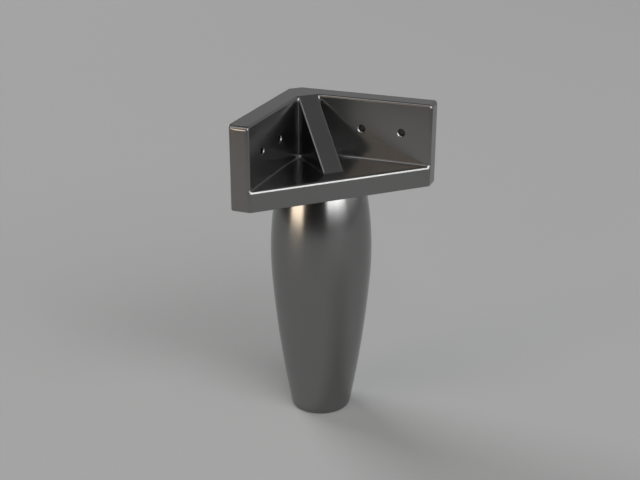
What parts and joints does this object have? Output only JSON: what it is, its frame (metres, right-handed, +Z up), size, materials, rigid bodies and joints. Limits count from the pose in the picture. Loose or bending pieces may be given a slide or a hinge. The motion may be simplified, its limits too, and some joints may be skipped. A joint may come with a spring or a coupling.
{
  "type": "cabinet foot",
  "caption": "One-piece cast furniture foot: a ribbed corner bracket with drilled flanges on a barrel-shaped leg that tapers to a flat round sole.",
  "frame": {"origin": "centre of the sole that stands on the floor, on the leg's own axis", "axes": "+Z up along the leg; one flange runs along +X and its outer face looks to +Y, the other runs along -Y and its outer face looks to -X; the bracket opens towards +X and -Y"},
  "size_m": [0.075, 0.075, 0.16],
  "materials": {
    "cast_metal": "smooth dark satin coating"
  },
  "bodies": {
    "root": {"cabinet_foot": "cast_metal"}
  },
  "joints": []
}
